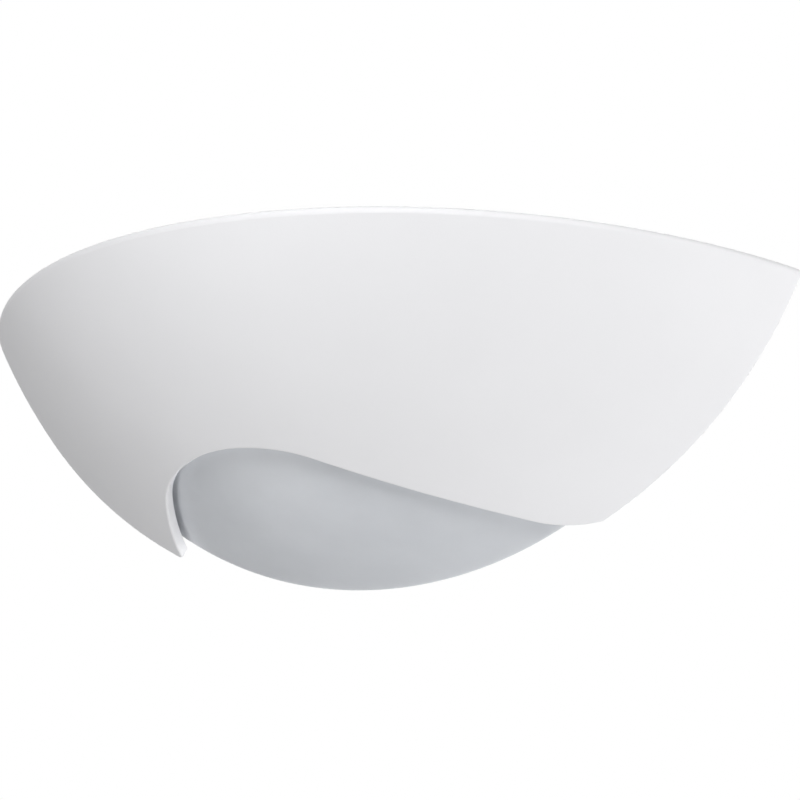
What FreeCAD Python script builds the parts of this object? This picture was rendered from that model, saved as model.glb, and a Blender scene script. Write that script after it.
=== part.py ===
"""Ceramic wall uplighter: a bowl-shaped shell with a swept cut-out over an inner glass bowl.

Millimetres. The wall is the plane y = 0 and the light stands out from it towards -Y, with +Z up
and +X to the right of someone who faces the wall. The origin is the centre of the two screw slots
on the back of the wall plate. Three groups make the light: the plate with all that stays on the
wall, the shade that hangs on the plate's two hooks, and the lamp that screws out of its holder.
"""
import FreeCAD
import Part
import Sketcher
import math
import os

# Every size that can be set by itself, in millimetres and degrees.
SIZES = {
    # The shell is part of an ellipsoid of revolution, whose axis runs square to the wall.
    "rim_rise": 17.0,            # rim above the hooks' seat
    "shell_axis_rise": 73.0,     # axis above the rim
    "bowl_centre_back": 94.1,    # centre of both bowls behind the wall
    "shell_radius": 197.6,       # half size across the axis
    "shell_reach": 267.7,        # half size along the axis
    "shell_wall": 4.6,
    "shell_stand": 0.5,          # back edge off the wall
    "shell_rim_round": 2.0,
    "shell_cut_round": 0.8,
    "shell_corner_round": 2.5,
    # The cut-out's plan: tangent arcs on a plane below the shell, thrown up to a point on the axis.
    "cut_focus_back": 25.0,      # that point behind the wall
    "cut_plan_inset": 44.6,      # plane above the bottom of the shell's full form
    "cut_plan_spread": 0.3,      # share of its depth to the loft's planes above and below
    "cut_start_across": 88.0,
    "cut_start_back": 8.0,
    "cut_lean_angle": 9.0,
    "cut_leg_radius": 509.0,
    "cut_leg_angle": 6.5,
    "cut_shoulder_radius": 73.0,
    "cut_shoulder_angle": 38.0,
    "cut_crown_radius": 42.5,
    "cut_crown_angle": 78.5,
    "cut_sweep_radius": 320.0,
    "cut_sweep_angle": 16.1,
    "cut_toe_radius": 48.0,
    "cut_toe_angle": 35.0,
    # The glass bowl is the same kind of form, smaller, on an axis of its own.
    "glass_axis_drop": 26.8,     # its axis below the shell's
    "glass_radius_less": 29.0,   # its half sizes less than the shell's
    "glass_reach_less": 28.8,
    "glass_wall": 4.0,
    "glass_stand": 1.5,          # back edge off the wall
    "glass_edge_round": 1.2,
    "glass_lug_gap": 2.0,        # rim below the lugs
    "glass_pad_radius": 6.0,
    "glass_pad_side_angle": 46.0,
    "glass_pad_side_tilt_angle": 22.0,
    "glass_pad_front_angle": 27.0,
    "glass_pad_front_tilt_angle": 47.0,
    # Wall plate, pressed from sheet, with two hooks and a folded lower edge.
    "plate_width": 140.0,
    "plate_height": 56.0,
    "plate_sheet": 1.5,
    "plate_corner": 6.0,
    "plate_lip": 6.0,
    "slot_spacing": 90.0,
    "slot_length": 9.0,
    "slot_width": 5.0,
    "hook_spacing": 100.0,
    "hook_width": 16.0,
    "hook_rise": 9.0,
    "hook_play": 1.2,            # strap to hook
    "cable_hole_radius": 7.0,
    "bush_bore_radius": 4.5,
    "bush_flange": 2.2,
    "bush_flange_sheet": 1.5,
    "bush_fit": 0.1,
    # Hanger strap across the back of the shell, bolted to two cast lugs.
    "seat_gap": 0.3,             # strap above its seat on the hooks
    "strap_stand": 4.5,          # strap off the wall
    "strap_sheet": 1.5,
    "strap_height": 16.0,
    "strap_end": 7.0,            # strap beyond its bolts
    "strap_notch": 4.0,
    "notch_play": 0.5,
    "lug_height": 18.0,
    "lug_depth": 13.0,
    "lug_wall_inset": 7.0,       # bolt to the shell's inner face
    "lug_land": 8.0,             # bolt to the lug's inner edge
    "lug_round": 3.0,
    "bolt_radius": 2.0,
    "bolt_play": 0.25,
    "bolt_head_radius": 3.8,
    "bolt_head_height": 2.6,
    "drive_across": 3.4,
    "drive_width": 0.9,
    "bolt_end": 0.6,             # thread beyond the nut
    "nut_across_flats": 7.0,
    "nut_height": 3.0,
    "washer_radius": 5.0,
    "washer_sheet": 1.0,
    "clip_sheet": 0.8,
    "clip_inner": 20.0,          # clip's inner side from the bolt
    "clip_outer": 4.0,
    "clip_tongue": 14.0,
    "clip_tongue_width": 16.0,
    "clip_pad_sheet": 1.5,
    "clip_pad_inset": 2.0,
    # Lamp arm, holder and lamp. The lamp's axis runs along X.
    "lamp_stand": 47.0,          # axis off the wall
    "lamp_height": 15.0,         # axis above the wall fixing
    "arm_across": 66.0,          # arm's outer face left of centre
    "arm_sheet": 1.5,
    "arm_low": 18.0,             # arm's lower edge below the axis
    "arm_high": 9.0,             # arm's neck above the axis
    "arm_foot": 12.0,
    "rivet_radius": 2.0,
    "rivet_head_radius": 3.0,
    "rivet_head_height": 1.2,
    "rivet_edge": 5.0,
    "holder_base_radius": 20.0,
    "holder_radius": 22.0,
    "holder_mouth_radius": 20.3,
    "holder_mouth_bevel": 1.0,
    "holder_length": 41.5,
    "holder_base_length": 11.6,
    "holder_step_length": 2.5,
    "holder_taper_length": 8.3,
    "holder_round": 1.2,
    "holder_floor": 10.0,
    "socket_radius": 13.4,       # inside of the screw shell
    "socket_sheet": 0.4,
    "socket_fit": 0.2,
    "socket_lip": 1.2,           # folded in at the shell's foot
    "holder_screw_radius": 1.6,
    "holder_screw_head": 3.0,
    "holder_screw_pitch": 13.0,  # each screw from the axis
    "holder_screw_depth": 7.0,
    "contact_width": 7.0,
    "contact_sheet": 0.6,
    "contact_rise": 4.6,
    "contact_gap": 0.3,
    "wire_entry_radius": 1.7,
    "wire_entry_depth": 6.0,
    "wire_entry_along": 6.0,
    "wire_entry_pitch": 5.0,     # each entry above or below the axis
    "cap_radius": 13.1,
    "cap_bevel": 2.1,
    "cap_length": 27.5,
    "button_radius": 4.5,
    "button_height": 1.5,
    "insulator_height": 4.0,
    "insulator_rim": 0.9,
    "housing_length": 20.0,
    "housing_neck_length": 4.0,
    "housing_swell_length": 11.0,
    "housing_round": 12.0,
    "housing_neck_radius": 14.5,
    "globe_seat_radius": 19.0,
    "globe_radius": 22.5,
    "globe_wall": 1.5,
    "board_radius": 15.0,
    "board_sheet": 1.6,
    # Terminal block, screws and earth.
    "block_across": 27.0,
    "block_rise": 14.0,          # block's centre above the plate's lower edge
    "block_height": 18.0,
    "block_depth": 9.0,
    "pole_pitch": 8.0,
    "block_side": 1.5,
    "tower_radius": 3.2,
    "tower_height": 4.0,
    "tower_pitch": 10.0,
    "insert_radius": 2.3,
    "insert_bore_radius": 1.5,
    "terminal_screw_radius": 1.3,
    "terminal_screw_length": 6.0,
    "terminal_slot_width": 0.65,
    "terminal_slot_depth": 0.8,
    "well_radius": 1.6,
    "block_screw_radius": 1.4,
    "block_screw_head": 1.8,
    "lead_radius": 1.1,
    "lead_grip": 6.0,            # lead inside its terminal
    "earth_across": 24.0,
    "earth_rise": 13.0,          # earth screw above the plate's lower edge
    "earth_screw_radius": 2.0,
    "earth_head_radius": 3.6,
    "earth_head_height": 2.4,
    "tag_radius": 4.2,
    "tag_sheet": 0.8,
    "tag_barrel_length": 7.0,
    "tag_barrel_radius": 1.9,
}

# The flat top of a round head, as a share of the head's radius.
HEAD_FLAT = 0.6

DOC = FreeCAD.newDocument("wall_uplighter")
SHEET = DOC.addObject("Spreadsheet::Sheet", "Sizes")
NODES = []


class Size:
    """A size that knows its value and the formula that gives it in the sheet."""

    def __init__(self, value, formula):
        self.value = value
        self.formula = formula

    def __add__(self, other):
        other = as_size(other)
        return Size(self.value + other.value, f"({self.formula} + {other.formula})")

    def __sub__(self, other):
        other = as_size(other)
        return Size(self.value - other.value, f"({self.formula} - {other.formula})")

    def __mul__(self, other):
        other = as_size(other)
        return Size(self.value * other.value, f"({self.formula} * {other.formula})")

    def __truediv__(self, other):
        other = as_size(other)
        return Size(self.value / other.value, f"({self.formula} / {other.formula})")

    def __neg__(self):
        return Size(-self.value, f"(0 - {self.formula})")

    def __radd__(self, other):
        return as_size(other) + self

    def __rsub__(self, other):
        return as_size(other) - self


def as_size(number):
    """A size from a size or a plain number."""
    if isinstance(number, Size):
        return number
    return Size(float(number), repr(float(number)))


def root(size):
    return Size(math.sqrt(size.value), f"sqrt({size.formula})")


class Sheet:
    """The driving sizes by name, each held in a cell of the sheet."""

    def __init__(self, sizes):
        for row, (name, value) in enumerate(sizes.items(), start=1):
            SHEET.set(f"A{row}", name)
            SHEET.set(f"B{row}", str(value))
            SHEET.setAlias(f"B{row}", name)
            setattr(self, name, Size(value, f"Sizes.{name}"))


S = Sheet(SIZES)
DOC.recompute()

# Heights and distances that several pieces share.
SEAT = S.plate_height / 2
STRAP_LOW = SEAT + S.seat_gap - S.strap_notch
BOLT_UP = STRAP_LOW + S.strap_height / 2
LUG_LOW = BOLT_UP - S.lug_height / 2
STRAP_FRONT = S.strap_stand + S.strap_sheet
LUG_BACK = STRAP_FRONT + S.washer_sheet
LUG_FRONT = LUG_BACK + S.lug_depth
CLIP_BACK = LUG_FRONT + S.washer_sheet
CLIP_FRONT = CLIP_BACK + S.clip_sheet
GLASS_RIM = LUG_LOW - S.glass_lug_gap
SHELL_AXIS = SEAT + S.rim_rise + S.shell_axis_rise
CUT_DEPTH = S.shell_radius - S.cut_plan_inset
GLASS_AXIS = SHELL_AXIS - S.glass_axis_drop
GLASS_RADIUS = S.shell_radius - S.glass_radius_less
GLASS_REACH = S.shell_reach - S.glass_reach_less
ARM_FACE = -(S.arm_across - S.arm_sheet)
ARM_TOP = S.lamp_height + S.arm_high
ARM_BOTTOM = S.lamp_height - S.arm_low
RIVET_ACROSS = ARM_FACE + S.arm_foot - S.rivet_edge
RIVET_UPS = (ARM_BOTTOM + S.rivet_edge, ARM_TOP - S.rivet_edge)
SOCKET_BORE = S.socket_radius + S.socket_sheet + S.socket_fit
CONTACT_TOP = S.holder_floor + S.contact_rise
LAMP_TIP = CONTACT_TOP + S.contact_gap
CAP_END = LAMP_TIP + S.cap_length
HOUSING_END = CAP_END + S.housing_length
POLE_OUT = S.plate_sheet + S.block_depth / 2
BLOCK_UP = S.block_rise - SEAT
EARTH_UP = S.earth_rise - SEAT
BLOCK_FRONT = S.plate_sheet + S.block_depth


def bowl_radius(radius, reach, out):
    """Radius of a bowl's round section at a distance out from the wall."""
    share = (S.bowl_centre_back + out) / reach
    return radius * root(1 - share * share)


def half_chord(radius, drop):
    """Half the width of a circle at a distance from its centre."""
    return root(radius * radius - drop * drop)


BOLT_ACROSS = half_chord(
    bowl_radius(S.shell_radius - S.shell_wall, S.shell_reach - S.shell_wall, LUG_FRONT - S.shell_stand),
    SHELL_AXIS - LUG_LOW,
) - S.lug_wall_inset


def bind(thing, name, size):
    """Ties a property to the sheet."""
    thing.setExpression(name, as_size(size).formula)


def place(thing, across=0, out=0, up=0):
    """Puts a thing at a distance right of centre, out from the wall and up from the fixing."""
    bind(thing, "Placement.Base.x", across)
    bind(thing, "Placement.Base.y", -as_size(out))
    bind(thing, "Placement.Base.z", up)


def new_body(name, across=0, out=0, up=0, node=True):
    body = DOC.addObject("PartDesign::Body", name)
    body.Label = name
    place(body, across, out, up)
    if node:
        NODES.append(body)
    return body


def origin_part(body, role):
    return next(part for part in body.Origin.OriginFeatures if part.Role == role)


def new_sketch(body, role, name, lift=0):
    """A sketch on one of the body's planes, lifted along the plane's normal.

    XZ_Plane looks at the wall, so its lift is a distance out from the wall. YZ_Plane is a side
    view, with distances out from the wall as negative values, and XY_Plane is the plan.
    """
    sketch = body.newObject("Sketcher::SketchObject", f"{body.Name}_{name}")
    sketch.AttachmentSupport = [(origin_part(body, role), "")]
    sketch.MapMode = "FlatFace"
    bind(sketch, "AttachmentOffset.Base.z", lift)
    return sketch


def vector(across, up):
    return FreeCAD.Vector(as_size(across).value, as_size(up).value, 0)


def hold(sketch, kind, size, *where):
    """A dimension of the sketch, tied to the sheet."""
    size = as_size(size)
    value = math.radians(size.value) if kind == "Angle" else size.value
    index = sketch.addConstraint(Sketcher.Constraint(kind, *where, value))
    formula = f"{size.formula} * 1 deg" if kind == "Angle" else size.formula
    sketch.setExpression(f"Constraints[{index}]", formula)


def join(sketch, first, second, kind="Coincident"):
    """Ties the end of one line or arc to the start of the next."""
    sketch.addConstraint(Sketcher.Constraint(kind, first, 2, second, 1))


def polygon(sketch, corners):
    """A closed outline of straight lines, each corner held by its own two sizes."""
    lines = []
    for index, corner in enumerate(corners):
        after = corners[(index + 1) % len(corners)]
        lines.append(sketch.addGeometry(Part.LineSegment(vector(*corner), vector(*after))))
    for index, line in enumerate(lines):
        join(sketch, line, lines[(index + 1) % len(lines)])
        across, up = corners[index]
        hold(sketch, "DistanceX", across, -1, 1, line, 1)
        hold(sketch, "DistanceY", up, -1, 1, line, 1)


def rectangle(sketch, low_across, high_across, low_up, high_up):
    low_corners = [(low_across, low_up), (high_across, low_up)]
    high_corners = [(high_across, high_up), (low_across, high_up)]
    polygon(sketch, low_corners + high_corners)


def circle(sketch, across, up, radius):
    shape = Part.Circle(vector(across, up), FreeCAD.Vector(0, 0, 1), as_size(radius).value)
    index = sketch.addGeometry(shape)
    hold(sketch, "DistanceX", across, -1, 1, index, 3)
    hold(sketch, "DistanceY", up, -1, 1, index, 3)
    hold(sketch, "Radius", radius, index)


def slot(sketch, across, up, length, width):
    """A level slot with round ends."""
    reach = (length - width) / 2
    radius = width / 2
    quarter = math.pi / 2
    right = Part.Circle(vector(across + reach, up), FreeCAD.Vector(0, 0, 1), radius.value)
    left = Part.Circle(vector(across - reach, up), FreeCAD.Vector(0, 0, 1), radius.value)
    upper = [vector(across + reach * side, up + radius) for side in (1, -1)]
    lower = [vector(across + reach * side, up - radius) for side in (-1, 1)]
    first = sketch.addGeometry(Part.ArcOfCircle(right, -quarter, quarter))
    top = sketch.addGeometry(Part.LineSegment(*upper))
    second = sketch.addGeometry(Part.ArcOfCircle(left, quarter, 3 * quarter))
    low = sketch.addGeometry(Part.LineSegment(*lower))
    for before, after in ((first, top), (top, second), (second, low), (low, first)):
        join(sketch, before, after, "Tangent")
    hold(sketch, "Radius", radius, first)
    for arc, middle in ((first, across + reach), (second, across - reach)):
        hold(sketch, "DistanceX", middle, -1, 1, arc, 3)
    hold(sketch, "DistanceY", up, -1, 1, first, 3)


def feature(body, kind, sketch, name):
    made = body.newObject(f"PartDesign::{kind}", f"{body.Name}_{name}")
    made.Profile = sketch
    return made


def pad(body, sketch, name, length, midplane=False):
    made = feature(body, "Pad", sketch, name)
    bind(made, "Length", length)
    made.Midplane = midplane
    return made


def pocket(body, sketch, name, length=None, against=False):
    """A cut right through both ways, or of one length along the sketch's normal or against it."""
    made = feature(body, "Pocket", sketch, name)
    if length is None:
        made.Type = "ThroughAll"
        made.Midplane = True
    else:
        bind(made, "Length", length)
        made.Reversed = not against
    return made


def revolve(body, sketch, name, role, angle=360, kind="Revolution"):
    made = feature(body, kind, sketch, name)
    made.ReferenceAxis = (origin_part(body, role), [""])
    made.Angle = angle
    made.Midplane = angle < 360
    return made


def mirror(body, originals, name="mirror"):
    """The same features on the other side of the light."""
    made = body.newObject("PartDesign::Mirrored", f"{body.Name}_{name}")
    made.Originals = originals
    made.MirrorPlane = (origin_part(body, "YZ_Plane"), [""])
    body.Tip = made
    return made


def pattern(body, originals, role, span, count, name="row"):
    """Copies in a row along one of the body's axes."""
    made = body.newObject("PartDesign::LinearPattern", f"{body.Name}_{name}")
    made.Originals = originals
    made.Direction = (origin_part(body, role), [""])
    bind(made, "Length", span)
    made.Occurrences = count
    body.Tip = made
    return made


def round_edges(body, name, radius, chosen):
    """Rounds the edges of the body that the test picks out."""
    DOC.recompute()
    base = body.Tip
    names = [f"Edge{index}" for index, edge in enumerate(base.Shape.Edges, start=1) if chosen(edge)]
    made = body.newObject("PartDesign::Fillet", f"{body.Name}_{name}")
    made.Base = (base, names)
    bind(made, "Radius", radius)
    return made


def near(value, size, slack=0.01):
    return abs(value - as_size(size).value) < slack


def middle(edge):
    """The point half way along an edge."""
    return edge.valueAt((edge.FirstParameter + edge.LastParameter) / 2)


def turned(name, corners, across=0, out=0, up=0, along="X_Axis"):
    """A turned piece: a closed outline of (along, radius) corners swept round its axis.

    Its lengths run along X, or out from the wall where it turns about the Y axis.
    """
    body = new_body(name, across, out, up)
    sketch = new_sketch(body, "XY_Plane", "profile")
    if along == "Y_Axis":
        corners = [(radius, -as_size(reach)) for reach, radius in corners]
    polygon(sketch, corners)
    return body, revolve(body, sketch, "turned", along)


def head(start, radius, height):
    """Corners of a round head, from its underside to the middle of its top."""
    top = start + height
    return [(start, radius), (start + height / 2, radius), (top, radius * HEAD_FLAT), (top, 0)]


# ---------------------------------------------------------------- the two bowls

def bowl_profile(sketch, radius, reach):
    """Quarter of the bowl's ellipse with its axis: the bowl's half section, in side view."""
    ellipse = Part.Ellipse(vector(S.bowl_centre_back, 0), reach.value, radius.value)
    wall_turn = 2 * math.pi - math.acos(-S.bowl_centre_back.value / reach.value)
    curve = sketch.addGeometry(Part.ArcOfEllipse(ellipse, math.pi, wall_turn))
    low = vector(0, -bowl_radius(radius, reach, as_size(0)))
    front = vector(S.bowl_centre_back - reach, 0)
    back_line = sketch.addGeometry(Part.LineSegment(low, FreeCAD.Vector()))
    axis_line = sketch.addGeometry(Part.LineSegment(FreeCAD.Vector(), front))
    sketch.exposeInternalGeometry(curve)
    long_axis, short_axis = 3, 4
    join(sketch, curve, back_line)
    join(sketch, back_line, axis_line)
    join(sketch, axis_line, curve)
    sketch.addConstraint(Sketcher.Constraint("Coincident", back_line, 2, -1, 1))
    sketch.addConstraint(Sketcher.Constraint("Vertical", back_line))
    sketch.addConstraint(Sketcher.Constraint("Horizontal", axis_line))
    sketch.addConstraint(Sketcher.Constraint("Horizontal", long_axis))
    sketch.addConstraint(Sketcher.Constraint("PointOnObject", curve, 3, -1))
    hold(sketch, "DistanceX", S.bowl_centre_back, -1, 1, curve, 3)
    hold(sketch, "Distance", reach * 2, long_axis)
    hold(sketch, "Distance", radius * 2, short_axis)


def bowl_solid(body, radius, reach, name="bowl", kind="Revolution", angle=180):
    """The lower half of a bowl's solid, or the same form cut away."""
    sketch = new_sketch(body, "YZ_Plane", f"{name}_section")
    bowl_profile(sketch, radius, reach)
    return revolve(body, sketch, name, "Y_Axis", angle, kind)


def cut_above(body, rise, name="rim"):
    """Cuts off what lies above the rim, which is this far below the bowl's axis."""
    sketch = new_sketch(body, "YZ_Plane", f"{name}_plane")
    rectangle(sketch, -S.shell_reach, S.shell_stand, -rise, S.shell_wall)
    return pocket(body, sketch, name)


def lug_outlines(sketch):
    """Both lugs in the shell's own heights, with their outer sides well past the shell's wall."""
    low = LUG_LOW - SHELL_AXIS
    inner = BOLT_ACROSS - S.lug_land
    outer = S.shell_radius
    for sides in ((inner, outer), (-outer, -inner)):
        rectangle(sketch, *sides, low, low + S.lug_height)


def shell_hollow():
    """The space inside the shell: the inner ellipsoid without the two lugs."""
    body = new_body("shell_hollow", node=False)
    bowl_solid(body, S.shell_radius - S.shell_wall, S.shell_reach - S.shell_wall)
    sketch = new_sketch(body, "XZ_Plane", "lugs", LUG_BACK - S.shell_stand)
    lug_outlines(sketch)
    pocket(body, sketch, "lug_cut", S.lug_depth)
    return body


def cut_outline(body, name, depth):
    """The cut-out's plan at a depth below the axis, as a chain of tangent arcs."""
    scale = depth / CUT_DEPTH
    sketch = new_sketch(body, "XY_Plane", name, -depth)
    across = -S.cut_start_across * scale
    back = S.cut_focus_back + (S.cut_start_back - S.cut_focus_back) * scale
    heading = -math.radians(90 - S.cut_lean_angle.value)
    arcs = (
        (S.cut_leg_radius, S.cut_leg_angle, 1),
        (S.cut_shoulder_radius, S.cut_shoulder_angle, 1),
        (S.cut_crown_radius, S.cut_crown_angle, 1),
        (S.cut_sweep_radius, S.cut_sweep_angle, 1),
        (S.cut_toe_radius, S.cut_toe_angle, -1),
    )
    point = vector(across, back)
    start = point
    drawn = []
    for radius, turn, side in arcs:
        size = radius.value * scale.value
        swing = math.radians(turn.value) * side
        normal = FreeCAD.Vector(-math.sin(heading), math.cos(heading), 0) * side
        centre = point + normal * size
        heading += swing
        after = centre + FreeCAD.Vector(math.sin(heading), -math.cos(heading), 0) * size * side
        middle_heading = heading - swing / 2
        middle = centre + FreeCAD.Vector(math.sin(middle_heading), -math.cos(middle_heading), 0) * size * side
        drawn.append(sketch.addGeometry(Part.Arc(point, middle, after)))
        point = after
    corner = FreeCAD.Vector(point.x, start.y + depth.value, 0)
    far_corner = FreeCAD.Vector(start.x, start.y + depth.value, 0)
    right = sketch.addGeometry(Part.LineSegment(point, corner))
    behind = sketch.addGeometry(Part.LineSegment(corner, far_corner))
    left = sketch.addGeometry(Part.LineSegment(far_corner, start))
    ends = []
    for arc, (radius, turn, side) in zip(drawn, arcs):
        hold(sketch, "Radius", radius * scale, arc)
        hold(sketch, "Angle", turn, arc)
        ends.append((2, 1) if side > 0 else (1, 2))
    for index in range(len(drawn) - 1):
        meeting = (drawn[index], ends[index][0], drawn[index + 1], ends[index + 1][1])
        sketch.addConstraint(Sketcher.Constraint("Tangent", *meeting))
    sketch.addConstraint(Sketcher.Constraint("Coincident", drawn[-1], ends[-1][0], right, 1))
    join(sketch, right, behind)
    join(sketch, behind, left)
    sketch.addConstraint(Sketcher.Constraint("Coincident", left, 2, drawn[0], 1))
    sketch.addConstraint(Sketcher.Constraint("Vertical", right))
    sketch.addConstraint(Sketcher.Constraint("Horizontal", behind))
    sketch.addConstraint(Sketcher.Constraint("Vertical", left))
    hold(sketch, "DistanceX", across, -1, 1, drawn[0], 1)
    hold(sketch, "DistanceY", back, -1, 1, drawn[0], 1)
    # The first arc's centre fixes the direction in which the outline sets out.
    leg_across = across + S.cut_leg_radius * scale * math.cos(math.radians(S.cut_lean_angle.value))
    hold(sketch, "DistanceX", leg_across, -1, 1, drawn[0], 3)
    hold(sketch, "DistanceY", depth, left, 2, left, 1)
    return sketch


def ceramic_shell(hollow):
    """The cast shell, with its lugs, its swept cut-out and softly rounded edges."""
    body = new_body("ceramic_shell", 0, S.shell_stand, SHELL_AXIS)
    bowl_solid(body, S.shell_radius, S.shell_reach)
    hollowed = body.newObject("PartDesign::Boolean", "ceramic_shell_hollowed")
    hollowed.Type = "Cut"
    hollowed.Group = [hollow]
    cut_above(body, S.shell_axis_rise)
    upper = cut_outline(body, "cut_plan_upper", CUT_DEPTH * (1 - S.cut_plan_spread))
    lower = cut_outline(body, "cut_plan_lower", CUT_DEPTH * (1 + S.cut_plan_spread))
    cut = feature(body, "SubtractiveLoft", upper, "cut_out")
    cut.Sections = [(lower, [""])]
    cut.Ruled = True
    bolts = new_sketch(body, "XZ_Plane", "bolt_holes", LUG_BACK - S.shell_stand)
    for across in (BOLT_ACROSS, -BOLT_ACROSS):
        circle(bolts, across, BOLT_UP - SHELL_AXIS, S.bolt_radius + S.bolt_play)
    pocket(body, bolts, "bolt_holes_cut", S.lug_depth)
    round_edges(body, "lug_edges", S.lug_round, lambda edge: (
        near(abs(middle(edge).x), BOLT_ACROSS - S.lug_land) and near(edge.Length, S.lug_depth)))
    round_edges(body, "rim_edges", S.shell_rim_round, lambda edge: (
        near(middle(edge).z, -S.shell_axis_rise) and edge.Length > S.shell_radius.value))
    fixing = -SHELL_AXIS.value
    at_back = -S.shell_corner_round.value
    round_edges(body, "corners", S.shell_corner_round, lambda edge: (
        middle(edge).z < fixing and middle(edge).y > at_back and crosses_wall(edge)))
    round_edges(body, "cut_edges", S.shell_cut_round, lambda edge: (
        middle(edge).z < fixing and middle(edge).y < at_back and not crosses_wall(edge)))


def crosses_wall(edge):
    """Whether an edge runs straight through the shell's wall."""
    return edge.Length < 2 * S.shell_wall.value


def glass_form():
    """The outside of the glass as a solid in the shell's own frame, which the pads are trimmed to."""
    body = new_body("glass_form", 0, S.glass_stand - S.shell_stand, GLASS_AXIS - SHELL_AXIS, node=False)
    bowl_solid(body, GLASS_RADIUS, GLASS_REACH, angle=360)
    return body


def glass_bowl():
    """The slumped glass bowl, with its ground edges rounded."""
    body = new_body("glass_bowl", 0, S.glass_stand, GLASS_AXIS)
    bowl_solid(body, GLASS_RADIUS, GLASS_REACH)
    bowl_solid(body, GLASS_RADIUS - S.glass_wall, GLASS_REACH - S.glass_wall, "inside", "Groove")
    cut_above(body, GLASS_AXIS - GLASS_RIM)
    rim = (GLASS_RIM - GLASS_AXIS).value
    round_edges(body, "edges", S.glass_edge_round, lambda edge: (
        edge.Length > 2 * S.glass_wall.value
        and (near(middle(edge).z, rim) or near(middle(edge).y, 0))))


def glass_pads(hollow, form):
    """Four soft pads that fill the space between the glass and the shell."""
    space = DOC.addObject("Part::Cut", "pad_space")
    space.Base = hollow
    space.Tool = form
    plugs = DOC.addObject("Part::Compound", "pad_plugs")
    links = []
    places = (
        (S.glass_pad_side_angle, S.glass_pad_side_tilt_angle),
        (-S.glass_pad_side_angle, S.glass_pad_side_tilt_angle),
        (S.glass_pad_front_angle, S.glass_pad_front_tilt_angle),
        (-S.glass_pad_front_angle, S.glass_pad_front_tilt_angle),
    )
    for number, (swing, tip) in enumerate(places, start=1):
        plug = DOC.addObject("Part::Cylinder", f"pad_plug_{number}")
        bind(plug, "Radius", S.glass_pad_radius)
        bind(plug, "Height", S.shell_reach)
        down = FreeCAD.Rotation(FreeCAD.Vector(1, 0, 0), 180 - tip.value)
        turn = FreeCAD.Rotation(FreeCAD.Vector(0, 1, 0), -swing.value) * down
        ahead = turn.multVec(FreeCAD.Vector(0, 0, 1))
        start = GLASS_RADIUS / 2
        place(plug, start * ahead.x, -S.cut_focus_back - start * ahead.y, start * ahead.z)
        plug.Placement.Rotation = turn
        links.append(plug)
    plugs.Links = links
    pads = DOC.addObject("Part::Common", "glass_pads")
    pads.Label = "glass_pads"
    pads.Base = space
    pads.Tool = plugs
    place(pads, 0, S.shell_stand, SHELL_AXIS)
    NODES.append(pads)


# ---------------------------------------------------------------- hanging

def hanger_strap():
    """The flat bar across the back of the shell, notched to sit on the two hooks."""
    body = new_body("hanger_strap", 0, S.strap_stand, 0)
    reach = BOLT_ACROSS + S.strap_end
    sketch = new_sketch(body, "XZ_Plane", "outline")
    notch = S.hook_width / 2 + S.notch_play
    high = STRAP_LOW + S.strap_height
    polygon(sketch, [
        (-reach, STRAP_LOW), (-S.hook_spacing / 2 - notch, STRAP_LOW),
        (-S.hook_spacing / 2 - notch, STRAP_LOW + S.strap_notch),
        (-S.hook_spacing / 2 + notch, STRAP_LOW + S.strap_notch),
        (-S.hook_spacing / 2 + notch, STRAP_LOW), (S.hook_spacing / 2 - notch, STRAP_LOW),
        (S.hook_spacing / 2 - notch, STRAP_LOW + S.strap_notch),
        (S.hook_spacing / 2 + notch, STRAP_LOW + S.strap_notch),
        (S.hook_spacing / 2 + notch, STRAP_LOW), (reach, STRAP_LOW), (reach, high), (-reach, high),
    ])
    pad(body, sketch, "bar", S.strap_sheet)
    holes = new_sketch(body, "XZ_Plane", "bolt_holes")
    for across in (BOLT_ACROSS, -BOLT_ACROSS):
        circle(holes, across, BOLT_UP, S.bolt_radius + S.bolt_play)
    pocket(body, holes, "bolt_holes_cut")
    round_edges(body, "ends", S.strap_height / 4, lambda edge: (
        near(abs(middle(edge).x), reach) and near(edge.Length, S.strap_sheet)))


def lug_bolts():
    """Pan-head screws through clip, lug and strap."""
    end = CLIP_FRONT - S.strap_stand + S.nut_height + S.bolt_end
    corners = [(-end, 0), (-end, S.bolt_radius), (0, S.bolt_radius)]
    corners += head(0, S.bolt_head_radius, S.bolt_head_height)
    body, shank = turned("lug_bolts", corners, -BOLT_ACROSS, CLIP_FRONT, BOLT_UP, "Y_Axis")
    drive = new_sketch(body, "XZ_Plane", "drive", S.bolt_head_height)
    cross = S.drive_across / 2
    arm = S.drive_width / 2
    polygon(drive, [
        (-cross, -arm), (-arm, -arm), (-arm, -cross), (arm, -cross), (arm, -arm), (cross, -arm),
        (cross, arm), (arm, arm), (arm, cross), (-arm, cross), (-arm, arm), (-cross, arm),
    ])
    recess = pocket(body, drive, "drive_cut", S.bolt_head_height / 2, against=True)
    pattern(body, [shank, recess], "X_Axis", BOLT_ACROSS * 2, 2)


def lug_nuts():
    """Hexagon nuts behind the strap."""
    body = new_body("lug_nuts", -BOLT_ACROSS, S.strap_stand - S.nut_height, BOLT_UP)
    sketch = new_sketch(body, "XZ_Plane", "hexagon")
    flat = S.nut_across_flats / 2
    corner = flat * (2 / math.sqrt(3))
    polygon(sketch, [
        (corner, 0), (corner / 2, flat), (-corner / 2, flat),
        (-corner, 0), (-corner / 2, -flat), (corner / 2, -flat),
    ])
    circle(sketch, 0, 0, S.bolt_radius)
    nut = pad(body, sketch, "nut", S.nut_height)
    pattern(body, [nut], "X_Axis", BOLT_ACROSS * 2, 2)


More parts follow.
